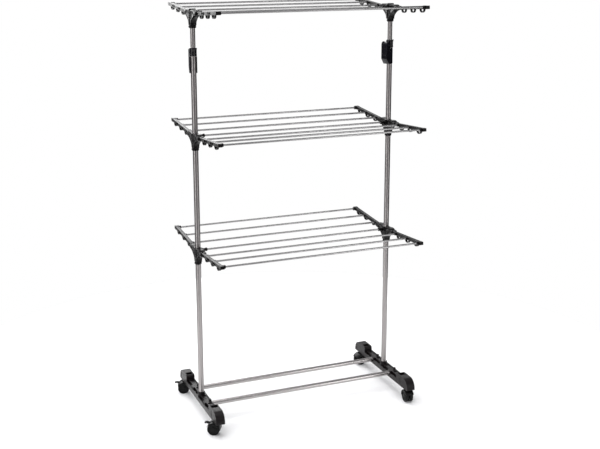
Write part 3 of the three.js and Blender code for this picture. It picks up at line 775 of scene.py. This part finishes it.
def clamp_mesh(pivot_out, pivot_z):
    """Split collar round the post, with an ear on one side and the lever's bracket on the other."""
    collar = [
        (0, CLAMP_LOW), (13.4, CLAMP_LOW), (14.5, CLAMP_LOW + 1.2), (14.5, CLAMP_LOW + 5),
        (14, CLAMP_LOW + 5.6), (14, CLAMP_HIGH - 7.4), (14.7, CLAMP_HIGH - 6.6),
        (14.7, CLAMP_HIGH - 1.6), (13.2, CLAMP_HIGH), (0, CLAMP_HIGH),
    ]
    adds = [lathe(collar, 56)]
    bracket = [(4, CLAMP_LOW + 4), (pivot_out, pivot_z - 8)] + arc((pivot_out, pivot_z), 8, -90, 90, 14)
    bracket += [(4, CLAMP_HIGH - 6)]
    adds.append(along_y(prism(bracket, -11.1, 11.1)))
    ear = [(-12.5, CLAMP_HIGH - 14), (-15.5, CLAMP_HIGH - 10), (-18.5, CLAMP_HIGH - 1)]
    ear += [(-17.5, CLAMP_HIGH), (-12.5, CLAMP_HIGH)]
    adds.append(along_y(prism(ear, -6, 6)))
    adds.append(along_y(disc(3, -14.4, 14.4, 28, 0.5), (pivot_out, 0, pivot_z)))
    below, above = CLAMP_LOW - 2, CLAMP_HIGH + 2
    cuts = [disc(11.3, below, OUTER_POST_TOP + 0.3, 56), disc(10.0, below, above, 56)]
    cuts.append(block(-30, -8, -0.7, 0.7, below, above))
    return finish_mesh(carve("clamp", adds, cuts, 0.5, 2))


def lever_mesh(pivot_out, pivot_z, low):
    """Channel-shaped lever that straddles the post, from its pivot down to low."""
    reach, wide, wall = 36.0, 14.5, 3.0
    wall_top = CLAMP_LOW - 1.5
    outline = [(12.2, wall_top), (-3, wall_top), (-3, low + 4)]
    outline += arc((1, low + 4), 4, 180, 270, 5)
    outline += [(reach - 15, low)] + arc((reach - 6, low + 24), 6, -30, 0, 4)
    outline += arc((pivot_out, pivot_z), 12, 0, 180, 20)
    adds = [along_y(prism(outline, -wide, wide))]
    hollow = [
        (-9, low - 2), (13.6, low - 2), (13.6, low + 3), (reach - 16, low + 3), (reach - 3, low + 23),
        (reach - 3, pivot_z + 6), (reach + 4, pivot_z + 6), (reach + 4, pivot_z + 20), (-9, pivot_z + 20),
    ]
    cuts = [along_y(prism(hollow, -wide + wall, wide - wall))]
    cuts.append(along_y(disc(3.3, -20, 20, 28), (pivot_out, 0, pivot_z)))
    # thumb recess on the front and a sunk panel on each flank
    cuts.append(block(reach - 1.0, reach + 3, -10, 10, low + 36, pivot_z - 16))
    panel = [(7, low + 8), (reach - 17, low + 8), (reach - 6, low + 24), (reach - 6, pivot_z - 16)]
    panel += [(17, pivot_z - 16), (15, CLAMP_LOW - 14), (7, CLAMP_LOW - 14)]
    for side in (-1, 1):
        y0, y1 = sorted((side * (wide - 0.8), side * (wide + 2)))
        cuts.append(along_y(prism(panel, y0, y1)))
    mesh = carve("lever", adds, cuts, 0.9, 3)
    return finish_mesh(mesh)


for side in SIDES:
    pivot, _ = joint_place(f"clamp_lever_{side}_hinge")
    out = math.hypot(pivot.x - POST_X[side], pivot.y)
    heading = math.atan2(pivot.y, pivot.x - POST_X[side])
    spot = at(POST_X[side], 0, 0, Matrix.Rotation(heading, 4, "Z"))
    low = span(f"clamp_lever_{side}", 2)[0]
    node = f"clamp_body_{side}"
    piece(f"{node}_collar", clamp_mesh(out, pivot.z), "gloss", "frame", spot, [node])
    node = f"clamp_lever_{side}"
    paddle = lever_mesh(out, pivot.z, low)
    piece(f"{node}_paddle", paddle, "gloss", f"lever_{side}", spot, [node])


# ------------------------------------------------------------------ floor and light
def pale(name, colour, rough):
    """Matt paint with a faint mottling."""
    g = Graph(name)
    cloud = g.noise(0.8, detail=2)
    shade = g.ramp(cloud, [(0.3, tuple(c * 0.985 for c in colour)), (0.7, colour)])
    g.join(shade, g.shader.inputs["Base Color"])
    g.set(Roughness=rough)
    return g.material


def floor_mesh(radius, steps=96):
    """Flat disc on the ground."""
    bm = bmesh.new()
    rim = []
    for k in range(steps):
        a = 2 * math.pi * k / steps
        rim.append(bm.verts.new((radius * math.cos(a), radius * math.sin(a), 0)))
    bm.faces.new(rim)
    mesh = bpy.data.meshes.new("floor")
    bm.to_mesh(mesh)
    bm.free()
    return mesh


floor = bpy.data.objects.new("floor", floor_mesh(1.7))
floor.data.materials.append(pale("floor_pale", (0.93, 0.93, 0.93), 0.7))
bpy.context.collection.objects.link(floor)


def hang_light(kind, name, place, target, power):
    data = bpy.data.lights.new(name, kind)
    data.energy = power
    light = bpy.data.objects.new(name, data)
    bpy.context.collection.objects.link(light)
    light.location = place
    aim = Vector(target) - Vector(place)
    light.rotation_euler = aim.to_track_quat("-Z", "Y").to_euler()
    light.visible_camera = False
    return data


def softbox(name, place, target, width, height, power):
    data = hang_light("AREA", name, place, target, power)
    data.shape = "RECTANGLE"
    data.size = width
    data.size_y = height


def strip(name, azimuth, width, power):
    """Tall soft light standing round the object, azimuth in degrees from +X."""
    a = math.radians(azimuth)
    place = (4.2 * math.cos(a), 4.2 * math.sin(a), 0.9)
    softbox(name, place, (0, 0, 0.9), width, 4.4, power)


sky = hang_light("SUN", "overhead", (-0.45, 0, 5), (0, 0.01, 0), 1.35)
sky.angle = math.radians(45)
softbox("back_high", (-1.4, 4.1, 3.0), (-1.4, 0, 3.0), 5.2, 3.3, 190)
softbox("back_far_right", (2.9, 4.1, 2.9), (2.9, 0, 2.9), 2.8, 2.6, 26)
strip("key_left", 203, 0.8, 42)
strip("key_right", 296, 0.6, 32)
strip("back_left", 118, 0.6, 14)
strip("back_right", 25, 0.6, 14)


def studio_world():
    """White to the eye. In reflections, a grey room that is brighter above than at eye level."""
    world = bpy.data.worlds.new("studio")
    bpy.context.scene.world = world
    world.use_nodes = True
    nodes, links = world.node_tree.nodes, world.node_tree.links
    room = nodes["Background"]
    place = nodes.new("ShaderNodeTexCoord")
    split = nodes.new("ShaderNodeSeparateXYZ")
    links.new(place.outputs["Generated"], split.inputs[0])
    ramp = nodes.new("ShaderNodeValToRGB")
    stops = [(0.0, 0.1), (0.5, 0.12), (0.6, 0.45), (0.8, 0.8)]
    while len(ramp.color_ramp.elements) < len(stops):
        ramp.color_ramp.elements.new(0.5)
    for element, (where, grey) in zip(ramp.color_ramp.elements, stops):
        element.position = where
        element.color = (grey, grey, grey * 1.03, 1)
    height = nodes.new("ShaderNodeMapRange")
    height.inputs["From Min"].default_value = -1
    links.new(split.outputs["Z"], height.inputs["Value"])
    links.new(height.outputs["Result"], ramp.inputs["Fac"])
    links.new(ramp.outputs["Color"], room.inputs["Color"])
    across = nodes.new("ShaderNodeMapRange")
    for key, value in (("From Min", -0.3), ("From Max", 0.55), ("To Min", 1.3), ("To Max", 0.3)):
        across.inputs[key].default_value = value
    links.new(split.outputs["X"], across.inputs["Value"])
    links.new(across.outputs["Result"], room.inputs["Strength"])
    white = nodes.new("ShaderNodeBackground")
    white.inputs["Color"].default_value = (1, 1, 1, 1)
    path = nodes.new("ShaderNodeLightPath")
    mix = nodes.new("ShaderNodeMixShader")
    links.new(path.outputs["Is Camera Ray"], mix.inputs[0])
    links.new(room.outputs[0], mix.inputs[1])
    links.new(white.outputs[0], mix.inputs[2])
    links.new(mix.outputs[0], nodes["World Output"].inputs["Surface"])


studio_world()

bpy.context.scene.view_settings.view_transform = "Standard"
